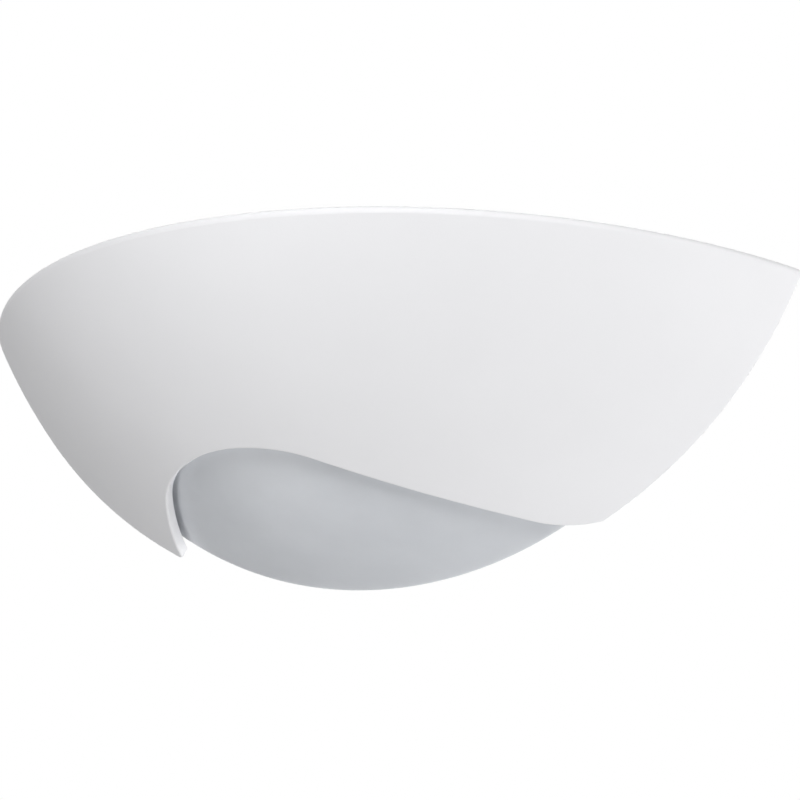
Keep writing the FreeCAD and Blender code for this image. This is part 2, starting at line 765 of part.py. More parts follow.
def lug_washers():
    """Fibre washers that keep the steel off the ceramic, behind and in front of each lug."""
    for name, out in (("rear_lug_washers", STRAP_FRONT), ("front_lug_washers", LUG_FRONT)):
        body = new_body(name, -BOLT_ACROSS, out, BOLT_UP)
        sketch = new_sketch(body, "XZ_Plane", "ring")
        circle(sketch, 0, 0, S.washer_radius)
        circle(sketch, 0, 0, S.bolt_radius + S.bolt_play)
        ring = pad(body, sketch, "ring_pad", S.washer_sheet)
        pattern(body, [ring], "X_Axis", BOLT_ACROSS * 2, 2)


def glass_clips():
    """Angle clips under the lug bolts, whose tongues reach over the rim of the glass."""
    body = new_body("glass_clips")
    low = GLASS_RIM + S.clip_pad_sheet
    inner = BOLT_ACROSS - S.clip_inner
    outer = BOLT_ACROSS + S.clip_outer
    side = new_sketch(body, "YZ_Plane", "angle", inner)
    front = CLIP_BACK + S.clip_tongue
    polygon(side, [
        (-CLIP_BACK, low), (-front, low), (-front, low + S.clip_sheet), (-CLIP_FRONT, low + S.clip_sheet),
        (-CLIP_FRONT, LUG_LOW + S.lug_height), (-CLIP_BACK, LUG_LOW + S.lug_height),
    ])
    angle = pad(body, side, "angle_pad", outer - inner)
    plan = new_sketch(body, "XY_Plane", "tongue_side", low)
    rectangle(plan, inner + S.clip_tongue_width, outer + S.clip_sheet, -front - S.clip_sheet, -CLIP_FRONT)
    narrowed = pocket(body, plan, "tongue_side_cut", S.clip_sheet * 2)
    hole = new_sketch(body, "XZ_Plane", "bolt_hole", CLIP_BACK)
    circle(hole, BOLT_ACROSS, BOLT_UP, S.bolt_radius + S.bolt_play)
    drilled = pocket(body, hole, "bolt_hole_cut", S.clip_sheet)
    mirror(body, [angle, narrowed, drilled])


def clip_pads():
    """Soft pads between the clips' tongues and the rim of the glass."""
    body = new_body("clip_pads", 0, 0, GLASS_RIM)
    inner = BOLT_ACROSS - S.clip_inner
    outer = inner + S.clip_tongue_width - S.clip_pad_inset
    front = CLIP_BACK + S.clip_tongue - S.clip_pad_inset
    plan = new_sketch(body, "XY_Plane", "plan")
    rectangle(plan, inner, outer, -front, -CLIP_FRONT - S.clip_pad_inset)
    soft = pad(body, plan, "pad", S.clip_pad_sheet)
    mirror(body, [soft])


# ---------------------------------------------------------------- wall plate

def wall_plate():
    """The pressed plate: slots, cable hole, fixing holes, two hooks and a folded lower edge."""
    body = new_body("wall_plate")
    half = S.plate_width / 2
    sketch = new_sketch(body, "XZ_Plane", "outline")
    rectangle(sketch, -half, half, -SEAT, SEAT)
    pad(body, sketch, "sheet", S.plate_sheet)
    round_edges(body, "corners", S.plate_corner, lambda edge: (
        near(abs(middle(edge).x), half) and near(edge.Length, S.plate_sheet) and middle(edge).z > 0))
    lip = new_sketch(body, "XY_Plane", "lip_plan", -SEAT)
    rectangle(lip, -half, half, -S.plate_lip, -S.plate_sheet)
    pad(body, lip, "lip", S.plate_sheet)
    holes = new_sketch(body, "XZ_Plane", "holes")
    for side in (-1, 1):
        slot(holes, S.slot_spacing / 2 * side, 0, S.slot_length, S.slot_width)
    circle(holes, 0, 0, S.cable_hole_radius)
    circle(holes, -S.earth_across, EARTH_UP, S.earth_screw_radius)
    circle(holes, S.block_across + S.pole_pitch / 2, BLOCK_UP, S.block_screw_radius)
    for up in RIVET_UPS:
        circle(holes, RIVET_ACROSS, up, S.rivet_radius)
    pocket(body, holes, "holes_cut")
    hook = new_sketch(body, "YZ_Plane", "hook_side", S.hook_spacing / 2)
    ledge = S.plate_sheet
    reach = STRAP_FRONT + S.hook_play
    polygon(hook, [
        (-ledge, SEAT - ledge), (-reach - ledge, SEAT - ledge), (-reach - ledge, SEAT + S.hook_rise),
        (-reach, SEAT + S.hook_rise), (-reach, SEAT), (-ledge, SEAT),
    ])
    bent = pad(body, hook, "hook", S.hook_width, midplane=True)
    mirror(body, [bent])


def cable_bush():
    """The flanged bush that lines the plate's cable hole."""
    outside = S.cable_hole_radius - S.bush_fit
    front = S.plate_sheet + S.bush_flange_sheet
    flange = outside + S.bush_flange
    turned("cable_bush", [
        (0, S.bush_bore_radius), (0, outside), (S.plate_sheet, outside), (S.plate_sheet, flange),
        (front, flange - S.bush_flange_sheet / 2), (front, S.bush_bore_radius),
    ], along="Y_Axis")


def lamp_arm():
    """The folded arm: a foot riveted to the plate and an upright end that carries the holder."""
    body = new_body("lamp_arm")
    side = new_sketch(body, "YZ_Plane", "neck_side", -S.arm_across)
    rectangle(side, -S.lamp_stand, -S.plate_sheet, ARM_BOTTOM, ARM_TOP)
    pad(body, side, "neck", S.arm_sheet)
    end = new_sketch(body, "YZ_Plane", "end_side", -S.arm_across)
    circle(end, -S.lamp_stand, S.lamp_height, S.arm_low)
    pad(body, end, "end", S.arm_sheet)
    foot = new_sketch(body, "XZ_Plane", "foot_front", S.plate_sheet)
    rectangle(foot, -S.arm_across, ARM_FACE + S.arm_foot, ARM_BOTTOM, ARM_TOP)
    pad(body, foot, "foot", S.arm_sheet)
    rivets = new_sketch(body, "XZ_Plane", "rivet_holes", S.plate_sheet)
    for up in RIVET_UPS:
        circle(rivets, RIVET_ACROSS, up, S.rivet_radius)
    pocket(body, rivets, "rivet_holes_cut", S.arm_sheet)
    screws = new_sketch(body, "YZ_Plane", "screw_holes", -S.arm_across)
    for side_up in (-1, 1):
        circle(screws, -S.lamp_stand, S.lamp_height + S.holder_screw_pitch * side_up, S.holder_screw_radius)
    pocket(body, screws, "screw_holes_cut", S.arm_sheet)
    round_edges(body, "fold", S.arm_sheet, lambda edge: (
        near(middle(edge).x, -S.arm_across) and near(middle(edge).y, -S.plate_sheet)
        and near(edge.Length, S.arm_low + S.arm_high)))


def arm_rivets():
    """Two rivets through foot and plate, flush with the plate's back."""
    front = S.plate_sheet + S.arm_sheet
    corners = [(0, 0), (0, S.rivet_radius), (front, S.rivet_radius)]
    corners += head(front, S.rivet_head_radius, S.rivet_head_height)
    body, rivet = turned("arm_rivets", corners, RIVET_ACROSS, 0, RIVET_UPS[0], "Y_Axis")
    pattern(body, [rivet], "Z_Axis", RIVET_UPS[1] - RIVET_UPS[0], 2)


# ---------------------------------------------------------------- holder and lamp

def on_lamp_axis(name, corners):
    """A piece turned about the lamp's axis, with lengths counted from the arm's inner face."""
    return turned(name, corners, ARM_FACE, S.lamp_stand, S.lamp_height)


def lampholder():
    """The glazed porcelain body, bored for the screw shell, with two wire entries in its base."""
    length = S.holder_length
    step_end = S.holder_base_length + S.holder_step_length
    body = on_lamp_axis("lampholder", [
        (0, 0), (0, S.holder_base_radius), (S.holder_base_length, S.holder_base_radius),
        (step_end, S.holder_radius), (length - S.holder_taper_length, S.holder_radius),
        (length, S.holder_mouth_radius), (length, SOCKET_BORE + S.holder_mouth_bevel),
        (length - S.holder_mouth_bevel, SOCKET_BORE), (S.holder_floor, SOCKET_BORE), (S.holder_floor, 0),
    ])[0]
    entries = new_sketch(body, "XZ_Plane", "wire_entries", -S.holder_base_radius)
    for side in (-1, 1):
        circle(entries, S.wire_entry_along, S.wire_entry_pitch * side, S.wire_entry_radius)
    pocket(body, entries, "wire_entries_cut", S.wire_entry_depth)
    screws = new_sketch(body, "YZ_Plane", "screw_holes")
    for side in (-1, 1):
        circle(screws, 0, S.holder_screw_pitch * side, S.holder_screw_radius)
    pocket(body, screws, "screw_holes_cut", S.holder_screw_depth)
    round_edges(body, "glaze", S.holder_round, lambda edge: (
        near(edge.BoundBox.Center.x, step_end) or near(edge.BoundBox.Center.x, length - S.holder_taper_length)
        or near(edge.BoundBox.ZMax, S.holder_mouth_radius)))


def holder_shell():
    """The pressed screw shell that takes the lamp's cap, plain where the real one has a thread."""
    outer = S.socket_radius + S.socket_sheet
    lip = S.socket_radius - S.socket_lip
    mouth = S.holder_length - S.holder_mouth_bevel - S.socket_sheet
    top = S.holder_floor + S.socket_sheet
    on_lamp_axis("holder_shell", [
        (S.holder_floor, lip), (S.holder_floor, outer), (mouth, outer),
        (mouth, S.socket_radius), (top, S.socket_radius), (top, lip),
    ])


def holder_contact():
    """The bent centre contact on the floor of the holder."""
    body = new_body("holder_contact", ARM_FACE, S.lamp_stand, S.lamp_height)
    side = new_sketch(body, "XZ_Plane", "strip")
    floor = S.holder_floor
    sheet = S.contact_sheet
    width = S.contact_width
    polygon(side, [
        (floor, -width), (floor + sheet, -width), (floor + sheet, -width / 2), (CONTACT_TOP, -width / 4),
        (CONTACT_TOP, width / 2), (CONTACT_TOP - sheet, width / 2),
        (CONTACT_TOP - sheet, -width / 4 + sheet), (floor, -width / 2 + sheet),
    ])
    pad(body, side, "strip_pad", width, midplane=True)


def holder_screws():
    """Two screws through the arm into the holder's base."""
    radius = S.holder_screw_radius
    depth = S.arm_sheet + S.holder_screw_depth
    head_corners = [(-along, size) for along, size in reversed(head(0, S.holder_screw_head, radius))]
    corners = head_corners + [(0, radius), (depth, radius), (depth, 0)]
    low = S.lamp_height - S.holder_screw_pitch
    body, screw = turned("holder_screws", corners, -S.arm_across, S.lamp_stand, low)
    pattern(body, [screw], "Z_Axis", S.holder_screw_pitch * 2, 2)


def lamp():
    """The lamp: contact button, black insulator, cap, housing, board and opal globe."""
    tip = LAMP_TIP
    insulator = tip + S.button_height
    cap = insulator + S.insulator_height
    cap_foot = S.cap_radius - S.cap_bevel
    on_lamp_axis("lamp_button", list(reversed([
        (insulator - along, size) for along, size in head(0, S.button_radius, S.button_height)
    ])) + [(insulator, 0)])
    on_lamp_axis("lamp_insulator", [
        (insulator, 0), (insulator, S.button_radius + S.insulator_rim), (cap, cap_foot), (cap, 0),
    ])
    on_lamp_axis("lamp_cap", [
        (cap, 0), (cap, cap_foot), (cap + S.cap_bevel, S.cap_radius), (CAP_END, S.cap_radius), (CAP_END, 0),
    ])
    neck_end = CAP_END + S.housing_neck_length
    seat_start = neck_end + S.housing_swell_length
    housing = on_lamp_axis("lamp_housing", [
        (CAP_END, 0), (CAP_END, S.housing_neck_radius), (neck_end, S.housing_neck_radius),
        (seat_start, S.globe_seat_radius), (HOUSING_END, S.globe_seat_radius), (HOUSING_END, 0),
    ])[0]
    round_edges(housing, "swell", S.housing_round, lambda edge: (
        near(edge.BoundBox.Center.x, neck_end) or near(edge.BoundBox.Center.x, seat_start)))
    on_lamp_axis("lamp_board", [
        (HOUSING_END, 0), (HOUSING_END, S.board_radius), (HOUSING_END + S.board_sheet, S.board_radius),
        (HOUSING_END + S.board_sheet, 0),
    ])


def lamp_globe():
    """The opal globe: a hollow ball with its open side on the housing."""
    centre = ARM_FACE + HOUSING_END + half_chord(S.globe_radius, S.globe_seat_radius)
    ball = DOC.addObject("Part::Sphere", "globe_ball")
    bind(ball, "Radius", S.globe_radius)
    inside = DOC.addObject("Part::Sphere", "globe_inside")
    bind(inside, "Radius", S.globe_radius - S.globe_wall)
    for sphere in (ball, inside):
        place(sphere, centre, S.lamp_stand, S.lamp_height)
    hollow = DOC.addObject("Part::Cut", "globe_hollow")
    hollow.Base = ball
    hollow.Tool = inside
    block = DOC.addObject("Part::Box", "globe_end")
    bind(block, "Length", S.globe_radius * 2)
    bind(block, "Width", S.globe_radius * 2)
    bind(block, "Height", S.globe_radius * 2)
    place(block, ARM_FACE + HOUSING_END, S.lamp_stand + S.globe_radius, S.lamp_height - S.globe_radius)
    globe = DOC.addObject("Part::Common", "lamp_globe")
    globe.Label = "lamp_globe"
    globe.Base = hollow
    globe.Tool = block
    NODES.append(globe)


# ---------------------------------------------------------------- terminal block, earth and leads

def block_body(name, out=0):
    """A body whose own origin is the middle of the block's first pole, out from the wall."""
    return new_body(name, S.block_across - S.pole_pitch, out, BLOCK_UP)


def poles(body, originals, name="poles"):
    return pattern(body, originals, "X_Axis", S.pole_pitch * 2, 3, name)


def terminal_block():
    """Three poles in one moulding, each with a bore along Z and two screw towers."""
    body = block_body("terminal_block", S.plate_sheet)
    front = new_sketch(body, "XZ_Plane", "front")
    side = S.pole_pitch / 2 + S.block_side
    half = S.block_height / 2
    rectangle(front, -side, S.pole_pitch * 2 + side, -half, half)
    pad(body, front, "base", S.block_depth)
    towers = new_sketch(body, "XZ_Plane", "towers", S.block_depth)
    wells = new_sketch(body, "XZ_Plane", "wells", S.block_depth + S.tower_height)
    for pole in range(3):
        for upper in (-1, 1):
            circle(towers, S.pole_pitch * pole, S.tower_pitch / 2 * upper, S.tower_radius)
            circle(wells, S.pole_pitch * pole, S.tower_pitch / 2 * upper, S.well_radius)
    pad(body, towers, "towers_pad", S.tower_height)
    pocket(body, wells, "wells_cut", S.tower_height + S.block_depth / 2, against=True)
    bores = new_sketch(body, "XY_Plane", "bores")
    for pole in range(3):
        circle(bores, S.pole_pitch * pole, -S.block_depth / 2, S.insert_radius)
    pocket(body, bores, "bores_cut")
    fixing = new_sketch(body, "XZ_Plane", "fixing")
    circle(fixing, S.pole_pitch * 1.5, 0, S.block_screw_radius)
    pocket(body, fixing, "fixing_cut")


def terminal_inserts():
    """Brass tubes in the three bores, drilled for their clamping screws."""
    body = block_body("terminal_inserts", POLE_OUT)
    ring = new_sketch(body, "XY_Plane", "ring")
    circle(ring, 0, 0, S.insert_radius)
    circle(ring, 0, 0, S.insert_bore_radius)
    tube = pad(body, ring, "tube", S.block_height - S.block_side * 2, midplane=True)
    screws = new_sketch(body, "XZ_Plane", "screws")
    for upper in (-1, 1):
        circle(screws, 0, S.tower_pitch / 2 * upper, S.terminal_screw_radius)
    drilled = pocket(body, screws, "screws_cut", S.insert_radius * 2)
    poles(body, [tube, drilled])


def terminal_screws():
    """Six slotted clamping screws, whose ends stop on the leads."""
    end = POLE_OUT + S.lead_radius
    body = block_body("terminal_screws", end)
    front = new_sketch(body, "XZ_Plane", "front")
    for pole in range(3):
        for upper in (-1, 1):
            circle(front, S.pole_pitch * pole, S.tower_pitch / 2 * upper, S.terminal_screw_radius)
    pad(body, front, "shank", S.terminal_screw_length)
    drive = new_sketch(body, "XZ_Plane", "slots", S.terminal_screw_length)
    blade = S.terminal_slot_width / 2
    across = S.pole_pitch / 2
    for upper in (-1, 1):
        row = S.tower_pitch / 2 * upper
        rectangle(drive, -across, S.pole_pitch * 2 + across, row - blade, row + blade)
    pocket(body, drive, "slots_cut", S.terminal_slot_depth, against=True)


def block_screw():
    """The screw between two poles that holds the block to the plate."""
    radius = S.block_screw_radius
    corners = [(0, 0), (0, radius), (BLOCK_FRONT, radius)]
    corners += head(BLOCK_FRONT, S.block_screw_head, radius)
    turned("block_screw", corners, S.block_across + S.pole_pitch / 2, 0, BLOCK_UP, "Y_Axis")


def earth_point():
    """Earth screw, its washer, and the ring tag that the green-yellow lead is crimped to."""
    tag_front = S.plate_sheet + S.tag_sheet
    washer_front = tag_front + S.tag_sheet
    radius = S.earth_screw_radius
    across = -S.earth_across
    up = EARTH_UP
    corners = [(0, 0), (0, radius), (washer_front, radius)]
    corners += head(washer_front, S.earth_head_radius, S.earth_head_height)
    turned("earth_screw", corners, across, 0, up, "Y_Axis")
    turned("earth_washer", [
        (tag_front, radius), (washer_front, radius), (washer_front, S.earth_head_radius),
        (tag_front, S.earth_head_radius),
    ], across, 0, up, "Y_Axis")
    body = new_body("earth_tag", across, S.plate_sheet, up)
    ring = new_sketch(body, "XZ_Plane", "ring")
    circle(ring, 0, 0, S.tag_radius)
    pad(body, ring, "ring_pad", S.tag_sheet)
    strip = new_sketch(body, "XZ_Plane", "strip")
    barrel_low = S.tag_radius + S.tag_sheet
    rectangle(strip, -S.tag_barrel_radius, S.tag_barrel_radius, 0, barrel_low + S.tag_sheet)
    pad(body, strip, "strip_pad", S.tag_sheet)
    barrel = new_sketch(body, "XY_Plane", "barrel", barrel_low)
    circle(barrel, 0, -S.tag_barrel_radius, S.tag_barrel_radius)
    pad(body, barrel, "barrel_pad", S.tag_barrel_length)
    hole = new_sketch(body, "XZ_Plane", "hole")
    circle(hole, 0, 0, radius)
    pocket(body, hole, "hole_cut", S.tag_sheet)
    grip = new_sketch(body, "XY_Plane", "grip", barrel_low + S.tag_barrel_length)
    circle(grip, 0, -S.tag_barrel_radius, S.lead_radius)
    pocket(body, grip, "grip_cut", S.tag_barrel_length - S.tag_sheet, against=True)


def lead(name, points):
    """An insulated lead along straight runs with tangent arcs, as wide as the runs allow."""
    places = []
    for point in points:
        across, out, up = (as_size(size).value for size in point)
        places.append(FreeCAD.Vector(across, -out, up))
    edges = []
    start = places[0]
    radii = []
    for before, here, after in zip(places, places[1:], places[2:]):
        back = (before - here).normalize()
        ahead = (after - here).normalize()
        turn = math.pi - back.getAngle(ahead)
        setback = 0.45 * min((before - here).Length, (after - here).Length)
        radius = setback / math.tan(turn / 2)
        radii.append(round(radius, 1))
        first = here + back * setback
        last = here + ahead * setback
        inward = (back + ahead).normalize()
        centre = here + inward * (radius / math.cos(turn / 2))
        halfway = centre - inward * radius
        edges.append(Part.LineSegment(start, first).toShape())
        edges.append(Part.Arc(first, halfway, last).toShape())
        start = last
    edges.append(Part.LineSegment(start, places[-1]).toShape())
    path = Part.Wire(edges)
    ring = Part.Wire([Part.makeCircle(S.lead_radius.value, places[0], places[1] - places[0])])
    made = DOC.addObject("Part::Feature", name)
    made.Shape = path.makePipeShell([ring], True, False)
    made.Label = name
    NODES.append(made)
    expected = math.pi * S.lead_radius.value ** 2 * path.Length
    print(f"{name}: length {path.Length:.0f}, radii {radii}, volume share {made.Shape.Volume / expected:.3f}")


def leads():
    """Live and neutral from the block to the holder, and earth from the block to the plate.

    Their bends are placed by hand, in widths of the lead.
    """
    wide = S.lead_radius * 2
    top = S.block_height / 2 + BLOCK_UP
    grip = top - S.lead_grip
    first = S.block_across - S.pole_pitch
    middle_pole = S.block_across
    third = S.block_across + S.pole_pitch
    entry = ARM_FACE + S.wire_entry_along
    mouth = S.lamp_stand - S.holder_base_radius
    floor = mouth + S.wire_entry_depth
    low = S.lamp_height - S.wire_entry_pitch
    high = S.lamp_height + S.wire_entry_pitch
    lead("live_lead", [
        (first, POLE_OUT, grip), (first, POLE_OUT, top + wide * 2.3),
        (first - wide * 4, POLE_OUT + wide * 1.4, low - wide * 0.5),
        (first - wide * 17, POLE_OUT + wide * 2.7, low - wide),
        (entry + wide * 10, POLE_OUT + wide * 2.3, low + wide * 0.5),
        (entry + wide, POLE_OUT + wide * 4, low), (entry, mouth - wide, low), (entry, floor, low),
    ])
    lead("neutral_lead", [
        (third, POLE_OUT, grip), (third, POLE_OUT, top + wide * 4),
        (third - wide * 5.5, POLE_OUT + wide * 1.4, high - wide * 1.4),
        (first - wide * 5.5, POLE_OUT + wide * 2.3, high),
        (entry + wide * 18, POLE_OUT + wide * 2.7, high - wide * 0.5),
        (entry + wide * 6.4, POLE_OUT + wide * 2.3, high + wide * 0.5),
        (entry, mouth - wide * 4, high), (entry, floor, high),
    ])
    tag = -S.earth_across
    tag_out = S.plate_sheet + S.tag_barrel_radius
    crimp = S.tag_radius + S.tag_sheet * 2 + EARTH_UP
    crimp_top = crimp + S.tag_barrel_length
    lead("earth_lead", [
        (middle_pole, POLE_OUT, grip), (middle_pole, POLE_OUT, top + wide * 1.8),
        (middle_pole - wide * 5, POLE_OUT + wide * 2.3, top + wide * 3.2),
        (first - wide * 6.4, POLE_OUT + wide * 2.3, top + wide * 2.3),
        (tag + wide * 5.5, POLE_OUT + wide * 1.4, crimp_top + wide * 3.2),
        (tag, tag_out, crimp_top + wide * 2.3), (tag, tag_out, crimp),
    ])


def main():
    hollow = shell_hollow()
    ceramic_shell(hollow)
    glass_bowl()
    glass_pads(hollow, glass_form())
    hanger_strap()
    lug_bolts()
    lug_nuts()
    lug_washers()
    glass_clips()
    clip_pads()
    wall_plate()
    cable_bush()
    lamp_arm()
    arm_rivets()
    lampholder()
    holder_shell()
    holder_contact()
    holder_screws()
    lamp()
    lamp_globe()
    terminal_block()
    terminal_inserts()
    terminal_screws()
    block_screw()
    earth_point()
    leads()
    DOC.recompute()


def check(thing):
    """Stops the build on anything that did not come out sound."""
    if "Invalid" in thing.State or "Error" in thing.State:
        raise RuntimeError(f"{thing.Label} did not rebuild: {thing.State}")


def write():
    os.makedirs("parts", exist_ok=True)
    for thing in DOC.Objects:
        check(thing)
    for node in NODES:
        if node.Shape.isNull() or not node.Shape.isValid():
            raise RuntimeError(f"{node.Label} has no sound shape")
        print(node.Label, len(node.Shape.Solids), round(node.Shape.Volume))
    for node in NODES:
        node.Shape.exportStep(f"parts/{node.Label}.step")


main()
write()
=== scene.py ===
"""Looks of a ceramic wall uplighter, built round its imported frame.

The shell is matt white earthenware over a satin glass bowl. Behind and inside them are a powder
coated wall plate, a porcelain lampholder and an opal lamp. Metres, with the wall at y = 0, the
light towards -Y and +Z up.
"""
import bpy
import bmesh
import math
from mathutils import Matrix, Vector


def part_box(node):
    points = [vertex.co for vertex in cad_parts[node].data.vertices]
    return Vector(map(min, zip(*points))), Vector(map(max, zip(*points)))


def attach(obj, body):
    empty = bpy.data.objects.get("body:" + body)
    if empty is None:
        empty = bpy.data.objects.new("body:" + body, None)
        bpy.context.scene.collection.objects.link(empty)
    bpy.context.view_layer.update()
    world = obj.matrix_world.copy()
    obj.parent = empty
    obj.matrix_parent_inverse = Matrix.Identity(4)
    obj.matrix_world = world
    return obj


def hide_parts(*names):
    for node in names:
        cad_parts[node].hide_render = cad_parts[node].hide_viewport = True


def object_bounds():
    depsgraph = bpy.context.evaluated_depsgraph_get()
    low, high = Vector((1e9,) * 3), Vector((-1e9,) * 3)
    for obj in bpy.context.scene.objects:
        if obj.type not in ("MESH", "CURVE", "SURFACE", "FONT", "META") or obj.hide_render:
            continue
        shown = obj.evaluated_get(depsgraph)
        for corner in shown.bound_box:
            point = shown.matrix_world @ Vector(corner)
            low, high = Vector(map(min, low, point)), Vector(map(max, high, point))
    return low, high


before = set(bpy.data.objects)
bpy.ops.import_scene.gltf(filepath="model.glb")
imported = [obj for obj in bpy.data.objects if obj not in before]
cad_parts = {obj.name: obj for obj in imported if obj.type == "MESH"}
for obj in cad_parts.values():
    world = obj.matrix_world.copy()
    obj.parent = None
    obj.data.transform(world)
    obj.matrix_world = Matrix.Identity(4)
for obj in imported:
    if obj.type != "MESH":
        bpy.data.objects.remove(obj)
CAD_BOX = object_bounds()

bl_info = {
    "name": "Wall Uplighter",
    "version": (1, 0, 0),
    "blender": (4, 5, 0),
    "location": "View3D > Sidebar > Uplighter",
    "description": "Finishes a ceramic wall uplighter and its lamp, and lights it for a picture",
    "category": "Object",
}

MM = 0.001

# The camera looks at this point from the middle of the rim's wall side.
AIM_OFFSET = Vector((-1.4 * MM, 8.0 * MM, -30.6 * MM))
SENSOR_WIDTH_MM = 36
FLOOR_HALF_WIDTH = 8.0
FLOOR_HEIGHT = -2.7

# Facets of one threaded sleeve, round it and along it.
THREAD_AROUND = 96
THREAD_ALONG = 160


def linear(code):
    """Linear colour of an sRGB hex code."""
    shares = [int(code[place:place + 2], 16) / 255 for place in (1, 3, 5)]
    return tuple(share / 12.92 if share <= 0.04045 else ((share + 0.055) / 1.055) ** 2.4 for share in shares)


def opaque(code):
    return (*linear(code), 1.0)


# ---------------------------------------------------------------- sizes and colours to change


class UplighterColours(bpy.types.PropertyGroup):
    """Colours of the finishes that show most."""

    ceramic: bpy.props.FloatVectorProperty(
        name="Ceramic", description="Matt paint on the outside of the shell",
        subtype="COLOR", size=3, min=0, max=1, default=linear("#EDEDEF"))
    glass: bpy.props.FloatVectorProperty(
        name="Glass", description="Satin glass of the inner bowl",
        subtype="COLOR", size=3, min=0, max=1, default=linear("#D7DADF"))
    steel_coat: bpy.props.FloatVectorProperty(
        name="Powder coat", description="Paint of the wall plate and the lamp arm",
        subtype="COLOR", size=3, min=0, max=1, default=linear("#E9E9E7"))
    porcelain: bpy.props.FloatVectorProperty(
        name="Porcelain", description="Glazed body of the lampholder",
        subtype="COLOR", size=3, min=0, max=1, default=linear("#EFEDE6"))


class UplighterThread(bpy.types.PropertyGroup):
    """The rolled screw thread of the lamp's cap and of the sleeve that takes it."""

    pitch: bpy.props.FloatProperty(
        name="Pitch", description="Distance from one turn of the thread to the next",
        unit="LENGTH", min=0.001, default=3.63 * MM)
    depth: bpy.props.FloatProperty(
        name="Depth", description="Height of the thread from root to crest",
        unit="LENGTH", min=0.0001, default=0.95 * MM)
    sheet: bpy.props.FloatProperty(
        name="Sheet", description="Thickness of the holder's brass sleeve",
        unit="LENGTH", min=0.0001, default=0.4 * MM)


class UplighterStage(bpy.types.PropertyGroup):
    """Where the camera stands, and how bright the studio is."""

    turn: bpy.props.FloatProperty(
        name="Turn", description="Camera's angle to the right of straight ahead",
        subtype="ANGLE", default=math.radians(24.66))
    rise: bpy.props.FloatProperty(
        name="Rise", description="Camera's angle above level, so below it where negative",
        subtype="ANGLE", default=math.radians(-15.64))
    distance: bpy.props.FloatProperty(
        name="Distance", description="Camera from the middle of the rim's wall side",
        unit="LENGTH", default=1.842)
    lens: bpy.props.FloatProperty(
        name="Lens", description="Camera's focal length in millimetres",
        default=212.0)
    key_power: bpy.props.FloatProperty(
        name="Key light", description="Power of the light in front, on the right",
        subtype="POWER", default=34)
    fill_power: bpy.props.FloatProperty(
        name="Fill light", description="Power of the light above in front, on the left",
        subtype="POWER", default=19)
    low_power: bpy.props.FloatProperty(
        name="Low light", description="Power of the light below on the left",
        subtype="POWER", default=14)
    under_power: bpy.props.FloatProperty(
        name="Under light", description="Power of the light below in front, on the right",
        subtype="POWER", default=11)
    back_power: bpy.props.FloatProperty(
        name="Back light", description="Power of the broad light behind on the right",
        subtype="POWER", default=49)
    side_power: bpy.props.FloatProperty(
        name="Side light", description="Power of the light above on the right",
        subtype="POWER", default=8)
    light_distance: bpy.props.FloatProperty(
        name="Light distance", description="Every light from the middle of the uplighter",
        unit="LENGTH", min=0.5, default=2.2)
    room_level: bpy.props.FloatProperty(
        name="Room level", description="Strength of the even light all round",
        min=0, default=0.04)


# ---------------------------------------------------------------- shared helpers


def add(tree, kind, inputs=None, **settings):
    """Adds a node with its settings. An input is a value, or the output that is linked to it."""
    made = tree.nodes.new(kind)
    for name, value in settings.items():
        setattr(made, name, value)
    for key, value in (inputs or {}).items():
        if isinstance(value, bpy.types.NodeSocket):
            tree.links.new(value, made.inputs[key])
        else:
            made.inputs[key].default_value = value
    return made


def start_material(name):
    """A new material with its tree, its shader and the point being shaded."""
    material = bpy.data.materials.new(name)
    material.use_nodes = True
    tree = material.node_tree
    shader = tree.nodes["Principled BSDF"]
    point = tree.nodes.new("ShaderNodeTexCoord").outputs["Object"]
    return material, tree, shader, point


def speckle(tree, point, size, detail=3.0, stretch=(1, 1, 1)):
    """Soft noise from 0 to 1, whose grains are about this size in metres."""
    where = add(tree, "ShaderNodeMapping", {"Vector": point, "Scale": stretch})
    noise = add(tree, "ShaderNodeTexNoise", {"Vector": where.outputs[0], "Scale": 1 / size, "Detail": detail})
    return noise.outputs[0]


def between(tree, share, low, high):
    """A colour or number that runs from low to high as the share runs from 0.3 to 0.7."""
    spread = add(tree, "ShaderNodeMapRange", {"Value": share, 1: 0.3, 2: 0.7})
    if isinstance(low, tuple):
        mix = add(tree, "ShaderNodeMix", data_type="RGBA")
        tree.links.new(spread.outputs[0], mix.inputs[0])
        mix.inputs[6].default_value = low
        mix.inputs[7].default_value = high
        return mix.outputs[2]
    spread.inputs[3].default_value = low
    spread.inputs[4].default_value = high
    return spread.outputs[0]


def bumpy(tree, shader, height, depth, base=None):
    """Raises the surface by the height map, whose full range is this deep in metres."""
    bump = add(tree, "ShaderNodeBump", {"Height": height, "Strength": 1.0, "Distance": depth})
    if base is not None:
        tree.links.new(base, bump.inputs["Normal"])
    tree.links.new(bump.outputs[0], shader.inputs["Normal"])
    return bump.outputs[0]


def soften(shader, weight, reach):
    """Lets light spread through the material, about this far in metres."""
    shader.inputs["Subsurface Weight"].default_value = weight
    shader.inputs["Subsurface Radius"].default_value = (1, 1, 1)
    shader.inputs["Subsurface Scale"].default_value = reach


def finish_nodes(material, slot, *names):
    """Gives CAD nodes a finish."""
    for name in names:
        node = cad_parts[name]
        node.data.materials.clear()
        node.data.materials.append(material)


def shade(colour, factor):
    """A colour made darker or lighter, with its alpha kept."""
    return tuple(min(1.0, part * factor) for part in colour[:3]) + (1.0,)


# ---------------------------------------------------------------- materials


